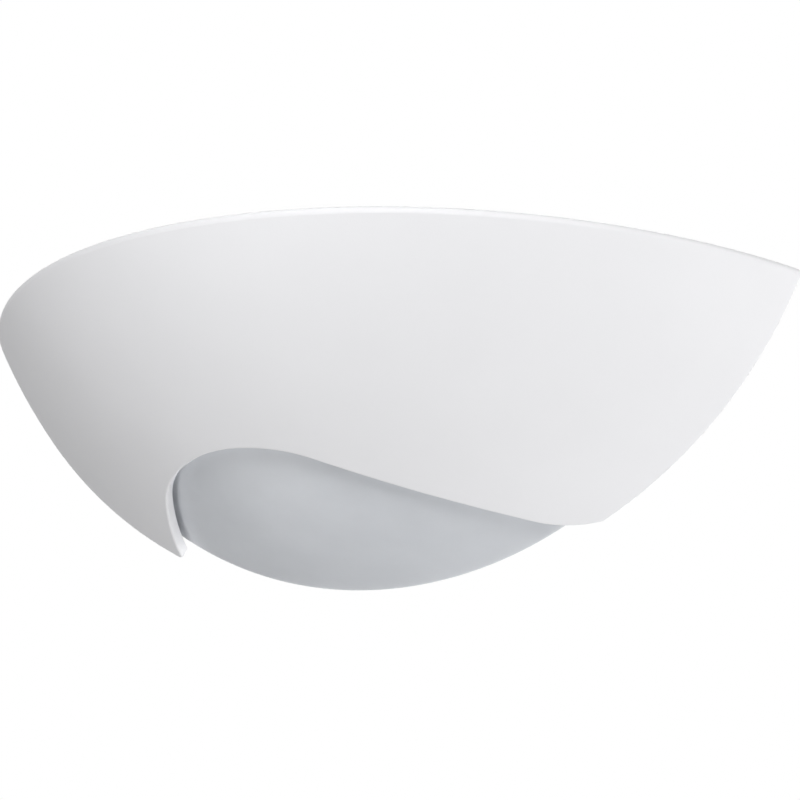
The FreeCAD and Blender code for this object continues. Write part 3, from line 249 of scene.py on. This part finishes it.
def matt_earthenware(colour):
    """Slip-cast earthenware under matt paint: fine grit, faint clouding, and slow hand-finished waves."""
    material, tree, shader, point = start_material("matt_earthenware")
    clouds = speckle(tree, point, 60 * MM, 2)
    base = between(tree, clouds, shade(colour, 0.985), shade(colour, 1.01))
    tree.links.new(base, shader.inputs["Base Color"])
    grit = speckle(tree, point, 0.7 * MM, 4)  # coarser than the real 0.2 mm grit, so it shows
    tree.links.new(between(tree, grit, 0.62, 0.74), shader.inputs["Roughness"])
    shader.inputs["IOR"].default_value = 1.5
    shader.inputs["Specular IOR Level"].default_value = 0.35
    waves = bumpy(tree, shader, speckle(tree, point, 45 * MM, 1), 0.25 * MM)
    bumpy(tree, shader, grit, 0.03 * MM, waves)
    return material


def satin_glass(colour):
    """Slumped glass, acid-etched on both faces: cool grey, soft and slightly cloudy, with a fine tooth."""
    material, tree, shader, point = start_material("satin_glass")
    clouds = speckle(tree, point, 22 * MM, 5)
    base = between(tree, clouds, shade(colour, 0.97), shade(colour, 1.02))
    tree.links.new(base, shader.inputs["Base Color"])
    tooth = speckle(tree, point, 0.8 * MM, 4)  # etching is far finer, and is drawn coarse to show
    tree.links.new(between(tree, tooth, 0.42, 0.56), shader.inputs["Roughness"])
    shader.inputs["IOR"].default_value = 1.5
    shader.inputs["Transmission Weight"].default_value = 0.06
    soften(shader, 0.6, 9 * MM)
    bumpy(tree, shader, tooth, 0.03 * MM)
    return material


def silicone_rubber(name, low, high):
    """Moulded silicone: matt, with slight dust and a soft sheen."""
    material, tree, shader, point = start_material(name)
    tree.links.new(between(tree, speckle(tree, point, 3 * MM), low, high), shader.inputs["Base Color"])
    shader.inputs["Roughness"].default_value = 0.6
    shader.inputs["Sheen Weight"].default_value = 0.15
    bumpy(tree, shader, speckle(tree, point, 0.5 * MM), 0.02 * MM)
    return material


def rolled_metal(name, low, high, rough, grain, stretch):
    """Rolled or plated sheet: metal with uneven plating and drawn lines, coarser than the real ones."""
    material, tree, shader, point = start_material(name)
    lines = speckle(tree, point, grain, 4, stretch)
    tree.links.new(between(tree, speckle(tree, point, 7 * MM, 3), low, high), shader.inputs["Base Color"])
    tree.links.new(between(tree, lines, rough, rough + 0.14), shader.inputs["Roughness"])
    shader.inputs["Metallic"].default_value = 1.0
    bumpy(tree, shader, lines, 0.01 * MM)
    return material


def powder_coat(colour):
    """Baked powder paint on steel: the close dimples of orange peel, half gloss."""
    material, tree, shader, point = start_material("powder_coat")
    peel = speckle(tree, point, 1.1 * MM, 1)
    base = between(tree, speckle(tree, point, 25 * MM), shade(colour, 0.97), shade(colour, 1.01))
    tree.links.new(base, shader.inputs["Base Color"])
    tree.links.new(between(tree, peel, 0.34, 0.44), shader.inputs["Roughness"])
    bumpy(tree, shader, peel, 0.06 * MM)
    return material


def vulcanised_fibre():
    """Pressed red fibre: dull, with short matted strands."""
    material, tree, shader, point = start_material("vulcanised_fibre")
    strands = speckle(tree, point, 0.5 * MM, 5, (1, 4, 1))
    tree.links.new(between(tree, strands, opaque("#6E2A1E"), opaque("#8C3D2C")), shader.inputs["Base Color"])
    shader.inputs["Roughness"].default_value = 0.82
    bumpy(tree, shader, strands, 0.05 * MM)
    return material


def glazed_porcelain(colour):
    """Pressed porcelain under clear glaze: warm white, glossy, with pinholes and a slow ripple."""
    material, tree, shader, point = start_material("glazed_porcelain")
    base = between(tree, speckle(tree, point, 9 * MM, 4), shade(colour, 0.96), shade(colour, 1.01))
    tree.links.new(base, shader.inputs["Base Color"])
    shader.inputs["Roughness"].default_value = 0.4
    shader.inputs["Coat Weight"].default_value = 0.8
    shader.inputs["Coat Roughness"].default_value = 0.08
    bumpy(tree, shader, speckle(tree, point, 5 * MM, 1), 0.12 * MM)
    return material


def moulded_plastic(name, low, high, rough, grain=1.2 * MM):
    """Injection-moulded plastic from a spark-eroded mould: fine even grain."""
    material, tree, shader, point = start_material(name)
    fine = speckle(tree, point, grain, 3)
    tree.links.new(between(tree, speckle(tree, point, 14 * MM), low, high), shader.inputs["Base Color"])
    tree.links.new(between(tree, fine, rough, rough + 0.1), shader.inputs["Roughness"])
    bumpy(tree, shader, fine, 0.03 * MM)
    return material


def opal_polycarbonate():
    """Blown opal plastic: milky, light passes but nothing shows through."""
    material, tree, shader, point = start_material("opal_polycarbonate")
    base = between(tree, speckle(tree, point, 18 * MM, 2), opaque("#EFEFEC"), opaque("#F5F5F2"))
    tree.links.new(base, shader.inputs["Base Color"])
    shader.inputs["Roughness"].default_value = 0.32
    soften(shader, 0.4, 4 * MM)
    bumpy(tree, shader, speckle(tree, point, 1 * MM, 2), 0.01 * MM)
    return material


def vitrite():
    """Black glass that insulates a lamp cap: poured, glossy, with small flow marks."""
    material, tree, shader, point = start_material("vitrite")
    flow = speckle(tree, point, 2 * MM, 3)
    tree.links.new(between(tree, flow, opaque("#15151A"), opaque("#24242B")), shader.inputs["Base Color"])
    shader.inputs["Roughness"].default_value = 0.12
    bumpy(tree, shader, flow, 0.08 * MM)
    return material


def striped_silicone():
    """Earth lead: green insulation with a yellow stripe along each side."""
    material, tree, shader, point = start_material("green_yellow_silicone")
    normal = tree.nodes.new("ShaderNodeTexCoord").outputs["Normal"]
    parts = add(tree, "ShaderNodeSeparateXYZ", {0: normal})
    side = add(tree, "ShaderNodeMath", {0: parts.outputs[2]}, operation="ABSOLUTE")
    stripe = add(tree, "ShaderNodeMapRange", {"Value": side.outputs[0], 1: 0.58, 2: 0.66})
    mix = add(tree, "ShaderNodeMix", {0: stripe.outputs[0]}, data_type="RGBA")
    mix.inputs[6].default_value = opaque("#3F8A3C")
    mix.inputs[7].default_value = opaque("#E3C93A")
    tree.links.new(mix.outputs[2], shader.inputs["Base Color"])
    shader.inputs["Roughness"].default_value = 0.45
    bumpy(tree, shader, speckle(tree, point, 0.6 * MM), 0.02 * MM)
    return material


# ---------------------------------------------------------------- threaded sleeves


def thread_tree(material):
    """Nodes that make an open sleeve along X with a rolled thread that fades out at both ends."""
    tree = bpy.data.node_groups.new("rolled_thread", "GeometryNodeTree")
    face = tree.interface
    face.new_socket("Geometry", in_out="OUTPUT", socket_type="NodeSocketGeometry")
    for name in ("Start", "Length", "Radius", "Depth", "Pitch", "Plain ends"):
        face.new_socket(name, in_out="INPUT", socket_type="NodeSocketFloat")
    given = tree.nodes.new("NodeGroupInput").outputs

    def maths(operation, *values):
        return add(tree, "ShaderNodeMath", dict(enumerate(values)), operation=operation).outputs[0]

    grid = add(tree, "GeometryNodeMeshGrid", {
        "Size X": 1.0, "Size Y": 1.0, "Vertices X": THREAD_ALONG + 1, "Vertices Y": THREAD_AROUND + 1})
    spot = tree.nodes.new("GeometryNodeInputPosition").outputs[0]
    parts = add(tree, "ShaderNodeSeparateXYZ", {0: spot}).outputs
    share = maths("ADD", parts[0], 0.5)
    angle = maths("MULTIPLY", parts[1], 2 * math.pi)
    place = maths("MULTIPLY_ADD", share, given["Length"], given["Start"])
    turns = maths("DIVIDE", place, given["Pitch"])
    wave = maths("COSINE", maths("MULTIPLY_ADD", turns, 2 * math.pi, angle))
    crest = maths("MULTIPLY_ADD", wave, 0.5, 0.5)
    fade_in = add(tree, "ShaderNodeMapRange", {0: share, 1: 0.04, 2: 0.16}, interpolation_type="SMOOTHSTEP")
    fade_out = add(tree, "ShaderNodeMapRange", {0: share, 1: 0.96, 2: 0.86}, interpolation_type="SMOOTHSTEP")
    fade = maths("MULTIPLY", fade_in.outputs[0], fade_out.outputs[0])
    threaded = maths("MULTIPLY", crest, fade)
    raised = maths("MULTIPLY_ADD", maths("SUBTRACT", 1.0, fade), given["Plain ends"], threaded)
    sunk = maths("SUBTRACT", 1.0, raised)
    radius = maths("SUBTRACT", given["Radius"], maths("MULTIPLY", sunk, given["Depth"]))
    moved = add(tree, "ShaderNodeCombineXYZ", {
        0: place,
        1: maths("MULTIPLY", radius, maths("COSINE", angle)),
        2: maths("MULTIPLY", radius, maths("SINE", angle)),
    })
    placed = add(tree, "GeometryNodeSetPosition", {"Geometry": grid.outputs[0], "Position": moved.outputs[0]})
    closed = add(tree, "GeometryNodeMergeByDistance", {"Geometry": placed.outputs[0], "Distance": 0.01 * MM})
    smooth = add(tree, "GeometryNodeSetShadeSmooth", {"Geometry": closed.outputs[0]})
    real = add(tree, "GeometryNodeRealizeInstances", {"Geometry": smooth.outputs[0]})
    dressed = add(tree, "GeometryNodeSetMaterial", {"Geometry": real.outputs[0], "Material": material})
    add(tree, "NodeGroupOutput", {0: dressed.outputs[0]})
    return tree


def threaded_sleeve(name, material, box, thread, plain_ends):
    """A plain mesh of one threaded sleeve, on the axis of the CAD node's box.

    Its plain ends are at the thread's root where plain_ends is 0, and at its crest where it is 1.
    """
    low, high = box
    holder = bpy.data.objects.new(name + "_rule", bpy.data.meshes.new(name + "_rule"))
    bpy.context.scene.collection.objects.link(holder)
    modifier = holder.modifiers.new("thread", "NODES")
    modifier.node_group = thread_tree(material)
    values = {
        "Start": low.x, "Length": high.x - low.x, "Radius": (high.z - low.z) / 2,
        "Depth": thread.depth, "Pitch": thread.pitch, "Plain ends": plain_ends,
    }
    for item in modifier.node_group.interface.items_tree:
        if item.name in values:
            modifier[item.identifier] = values[item.name]
    evaluated = holder.evaluated_get(bpy.context.evaluated_depsgraph_get())
    mesh = bpy.data.meshes.new_from_object(evaluated)
    bpy.data.objects.remove(holder)
    mesh.name = name
    mesh.transform(Matrix.Translation((0, (low.y + high.y) / 2, (low.z + high.z) / 2)))
    made = bpy.data.objects.new(name, mesh)
    bpy.context.scene.collection.objects.link(made)
    return made


def point_outwards(mesh, close_ends=False):
    """Fills the open ends if asked, and turns every face outwards."""
    work = bmesh.new()
    work.from_mesh(mesh)
    if close_ends:
        rims = [edge for edge in work.edges if edge.is_boundary]
        bmesh.ops.holes_fill(work, edges=rims)
    bmesh.ops.recalc_face_normals(work, faces=work.faces)
    work.to_mesh(mesh)
    work.free()


# ---------------------------------------------------------------- operators, one for each group


class UPLIGHTER_OT_shell(bpy.types.Operator):
    """Finish the ceramic shell"""

    bl_idname = "uplighter.shell"
    bl_label = "Ceramic shell"

    def execute(self, context):
        colours = context.scene.uplighter_colours
        finish_nodes(matt_earthenware(tuple(colours.ceramic)), "shell_ceramic", "ceramic_shell")
        return {"FINISHED"}


class UPLIGHTER_OT_glass(bpy.types.Operator):
    """Finish the inner glass bowl"""

    bl_idname = "uplighter.glass"
    bl_label = "Glass bowl"

    def execute(self, context):
        colours = context.scene.uplighter_colours
        finish_nodes(satin_glass(tuple(colours.glass)), "satin_glass", "glass_bowl")
        return {"FINISHED"}


class UPLIGHTER_OT_soft_parts(bpy.types.Operator):
    """Finish the soft pads and the cable bush"""

    bl_idname = "uplighter.soft_parts"
    bl_label = "Pads and bush"

    def execute(self, context):
        clear = silicone_rubber("clear_silicone", opaque("#CFD2D1"), opaque("#DCDEDD"))
        finish_nodes(clear, "clear_silicone", "glass_pads", "clip_pads")
        black = silicone_rubber("bush_rubber", opaque("#222222"), opaque("#2E2E2E"))
        finish_nodes(black, "black_rubber", "cable_bush")
        return {"FINISHED"}


class UPLIGHTER_OT_hanger(bpy.types.Operator):
    """Finish the strap, clips, bolts, nuts and washers that hold the shade"""

    bl_idname = "uplighter.hanger"
    bl_label = "Hanger and fixings"

    def execute(self, context):
        zinc = rolled_metal(
            "bright_zinc_plate", opaque("#BCBFC2"), opaque("#C6C9CB"), 0.28, 0.6 * MM, (0.15, 1, 1))
        zinc_nodes = (
            "hanger_strap", "lug_bolts", "lug_nuts", "holder_screws", "terminal_screws",
            "block_screw", "earth_washer",
        )
        finish_nodes(zinc, "zinc_steel", *zinc_nodes)
        spring = rolled_metal(
            "spring_steel_strip", opaque("#9A9DA1"), opaque("#ABAEB1"), 0.24, 0.4 * MM, (1, 0.1, 1))
        finish_nodes(spring, "spring_steel", "glass_clips")
        finish_nodes(vulcanised_fibre(), "red_fibre", "rear_lug_washers", "front_lug_washers")
        return {"FINISHED"}


class UPLIGHTER_OT_bracket(bpy.types.Operator):
    """Finish the wall plate, the lamp arm and its rivets"""

    bl_idname = "uplighter.bracket"
    bl_label = "Plate and arm"

    def execute(self, context):
        colours = context.scene.uplighter_colours
        finish_nodes(powder_coat(tuple(colours.steel_coat)), "white_steel", "wall_plate", "lamp_arm")
        turned = rolled_metal(
            "turned_aluminium", opaque("#C8C9CB"), opaque("#D6D7D8"), 0.3, 0.5 * MM, (1, 1, 1))
        finish_nodes(turned, "rivet_aluminium", "arm_rivets")
        return {"FINISHED"}


class UPLIGHTER_OT_lampholder(bpy.types.Operator):
    """Finish the porcelain lampholder, and make its threaded brass sleeve"""

    bl_idname = "uplighter.lampholder"
    bl_label = "Lampholder"

    def execute(self, context):
        colours = context.scene.uplighter_colours
        thread = context.scene.uplighter_thread
        finish_nodes(glazed_porcelain(tuple(colours.porcelain)), "porcelain", "lampholder")
        brass = rolled_metal(
            "pressed_brass", opaque("#B9974E"), opaque("#D2B266"), 0.24, 0.8 * MM, (1, 1, 1))
        finish_nodes(brass, "contact_brass", "holder_contact", "terminal_inserts", "earth_screw", "earth_tag")
        finish_nodes(brass, "contact_brass", "lamp_button")
        sleeve = threaded_sleeve("threaded_sleeve", brass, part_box("holder_shell"), thread, 1.0)
        wall = sleeve.modifiers.new("wall", "SOLIDIFY")
        wall.thickness = thread.sheet
        wall.offset = -1
        point_outwards(sleeve.data)
        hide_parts("holder_shell")
        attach(sleeve, "wall_bracket")
        return {"FINISHED"}


class UPLIGHTER_OT_lamp(bpy.types.Operator):
    """Finish the lamp, and make its threaded cap"""

    bl_idname = "uplighter.lamp"
    bl_label = "Lamp"

    def execute(self, context):
        thread = context.scene.uplighter_thread
        nickel = rolled_metal(
            "nickel_plated_cap", opaque("#B9B6AF"), opaque("#CBC8C1"), 0.22, 0.7 * MM, (1, 1, 1))
        cap = threaded_sleeve("threaded_cap", nickel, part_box("lamp_cap"), thread, 0.0)
        point_outwards(cap.data, close_ends=True)
        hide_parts("lamp_cap")
        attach(cap, "lamp")
        finish_nodes(vitrite(), "black_insulator", "lamp_insulator")
        housing = moulded_plastic("lamp_housing_plastic", opaque("#E6E6E3"), opaque("#EEEEEB"), 0.36)
        finish_nodes(housing, "lamp_plastic", "lamp_housing")
        board = moulded_plastic("white_solder_mask", opaque("#E9EBEA"), opaque("#F2F3F2"), 0.3)
        finish_nodes(board, "board_aluminium", "lamp_board")
        finish_nodes(opal_polycarbonate(), "opal_plastic", "lamp_globe")
        return {"FINISHED"}


class UPLIGHTER_OT_terminals(bpy.types.Operator):
    """Finish the terminal block and the three leads"""

    bl_idname = "uplighter.terminals"
    bl_label = "Block and leads"

    def execute(self, context):
        nylon = moulded_plastic("natural_nylon", opaque("#DAD7CB"), opaque("#E4E1D6"), 0.42)
        finish_nodes(nylon, "block_plastic", "terminal_block")
        brown = silicone_rubber("brown_silicone", opaque("#5A3723"), opaque("#684230"))
        finish_nodes(brown, "brown_silicone", "live_lead")
        blue = silicone_rubber("blue_silicone", opaque("#2F5C9E"), opaque("#3A6AB0"))
        finish_nodes(blue, "blue_silicone", "neutral_lead")
        finish_nodes(striped_silicone(), "green_silicone", "earth_lead")
        return {"FINISHED"}


class UPLIGHTER_OT_stage(bpy.types.Operator):
    """Set up the camera, the floor, the lights and the world"""

    bl_idname = "uplighter.stage"
    bl_label = "Stage"

    def execute(self, context):
        stage = context.scene.uplighter_stage
        place_camera(context.scene, stage)
        make_floor()
        place_lights(stage)
        light_world(context.scene, stage)
        context.scene.view_settings.view_transform = "Standard"
        return {"FINISHED"}


# ---------------------------------------------------------------- stage


def link(made):
    bpy.context.scene.collection.objects.link(made)
    return made


def aim(thing, target):
    """Turns a camera or a light to face a point."""
    thing.rotation_mode = "QUATERNION"
    thing.rotation_quaternion = (target - thing.location).to_track_quat("-Z", "Y")


def place_camera(scene, stage):
    """The camera stands to the right and below, and looks up at the shell."""
    rim_middle = Vector((0, 0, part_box("ceramic_shell")[1].z))
    back = Vector((
        math.sin(stage.turn) * math.cos(stage.rise),
        -math.cos(stage.turn) * math.cos(stage.rise),
        math.sin(stage.rise),
    ))
    data = bpy.data.cameras.new("camera")
    data.lens = stage.lens
    data.sensor_width = SENSOR_WIDTH_MM
    camera = link(bpy.data.objects.new("camera", data))
    camera.location = rim_middle + back * stage.distance
    aim(camera, rim_middle + AIM_OFFSET)
    data.clip_start = 0.05
    data.clip_end = 50
    scene.camera = camera


def make_floor():
    """A pale floor far below the light, under every view of it."""
    mesh = bpy.data.meshes.new("floor")
    half = FLOOR_HALF_WIDTH
    corners = [(x, y, FLOOR_HEIGHT) for x, y in ((-half, -half), (half, -half), (half, half), (-half, half))]
    mesh.from_pydata(corners, [], [(0, 1, 2, 3)])
    floor = link(bpy.data.objects.new("floor", mesh))
    material = bpy.data.materials.new("studio_floor")
    material.use_nodes = True
    tree = material.node_tree
    shader = tree.nodes["Principled BSDF"]
    shader.inputs["Base Color"].default_value = opaque("#E4E4E4")
    shader.inputs["Roughness"].default_value = 0.9
    seen = add(tree, "ShaderNodeEmission", {"Color": opaque("#FFFFFF"), "Strength": 1.0})
    path = tree.nodes.new("ShaderNodeLightPath")
    mix = add(tree, "ShaderNodeMixShader", {
        0: path.outputs["Is Camera Ray"], 1: shader.outputs[0], 2: seen.outputs[0]})
    tree.links.new(mix.outputs[0], tree.nodes["Material Output"].inputs[0])
    mesh.materials.append(material)


def place_lights(stage):
    """Six round soft lights, by their direction from the light fitting and their width.

    The strong one behind doesn't mirror in the bare metal, which would burn out to white.
    """
    middle = sum(CAD_BOX, Vector()) / 2
    for name, direction, width, power in (
        ("key_light", (0.43, -0.88, 0.18), 0.9, stage.key_power),
        ("fill_light", (-0.40, -0.76, 0.50), 1.5, stage.fill_power),
        ("low_light", (-0.58, 0.08, -0.81), 0.9, stage.low_power),
        ("under_light", (0.61, -0.28, -0.74), 0.9, stage.under_power),
        ("side_light", (0.78, 0.02, 0.63), 1.0, stage.side_power),
        ("back_light", (0.53, 0.77, -0.36), 2.4, stage.back_power),
    ):
        data = bpy.data.lights.new(name, "AREA")
        data.shape = "DISK"
        data.size = width
        data.energy = power
        lamp = link(bpy.data.objects.new(name, data))
        lamp.location = middle + Vector(direction).normalized() * stage.light_distance
        aim(lamp, middle)
        lamp.visible_glossy = name != "back_light"


def light_world(scene, stage):
    """Even light all round, and a white background where it is seen."""
    world = bpy.data.worlds.new("studio")
    scene.world = world
    world.use_nodes = True
    tree = world.node_tree
    room = tree.nodes["Background"]
    room.inputs["Color"].default_value = opaque("#FFFFFF")
    room.inputs["Strength"].default_value = stage.room_level
    seen = add(tree, "ShaderNodeBackground", {"Color": opaque("#FFFFFF"), "Strength": 1.0})
    path = tree.nodes.new("ShaderNodeLightPath").outputs
    clear = add(tree, "ShaderNodeMath", {
        0: path["Is Glossy Ray"], 1: path["Is Transmission Ray"]}, operation="MAXIMUM")
    white = add(tree, "ShaderNodeMath", {
        0: path["Is Camera Ray"], 1: clear.outputs[0]}, operation="MAXIMUM")
    mix = add(tree, "ShaderNodeMixShader", {0: white.outputs[0], 1: room.outputs[0], 2: seen.outputs[0]})
    tree.links.new(mix.outputs[0], tree.nodes["World Output"].inputs[0])


# ---------------------------------------------------------------- panel and registration


OPERATORS = (
    UPLIGHTER_OT_stage,
    UPLIGHTER_OT_shell,
    UPLIGHTER_OT_glass,
    UPLIGHTER_OT_soft_parts,
    UPLIGHTER_OT_hanger,
    UPLIGHTER_OT_bracket,
    UPLIGHTER_OT_lampholder,
    UPLIGHTER_OT_lamp,
    UPLIGHTER_OT_terminals,
)


class UPLIGHTER_PT_panel(bpy.types.Panel):
    """Sizes, colours and steps of the uplighter"""

    bl_idname = "UPLIGHTER_PT_panel"
    bl_label = "Wall Uplighter"
    bl_space_type = "VIEW_3D"
    bl_region_type = "UI"
    bl_category = "Uplighter"

    def draw(self, context):
        for group in (
            context.scene.uplighter_colours,
            context.scene.uplighter_thread,
            context.scene.uplighter_stage,
        ):
            box = self.layout.box()
            for name in group.bl_rna.properties.keys():
                if name not in ("rna_type", "name"):
                    box.prop(group, name)
        for operator in OPERATORS:
            self.layout.operator(operator.bl_idname)


GROUPS = {
    "uplighter_colours": UplighterColours,
    "uplighter_thread": UplighterThread,
    "uplighter_stage": UplighterStage,
}


def register():
    for kind in (*GROUPS.values(), *OPERATORS, UPLIGHTER_PT_panel):
        bpy.utils.register_class(kind)
    for name, group in GROUPS.items():
        setattr(bpy.types.Scene, name, bpy.props.PointerProperty(type=group))


def unregister():
    for name in GROUPS:
        delattr(bpy.types.Scene, name)
    for kind in (UPLIGHTER_PT_panel, *reversed(OPERATORS), *reversed(GROUPS.values())):
        bpy.utils.unregister_class(kind)


def main():
    """Builds everything in order."""
    register()
    for operator in OPERATORS:
        group, name = operator.bl_idname.split(".")
        getattr(getattr(bpy.ops, group), name)()


if __name__ == "__main__":
    main()
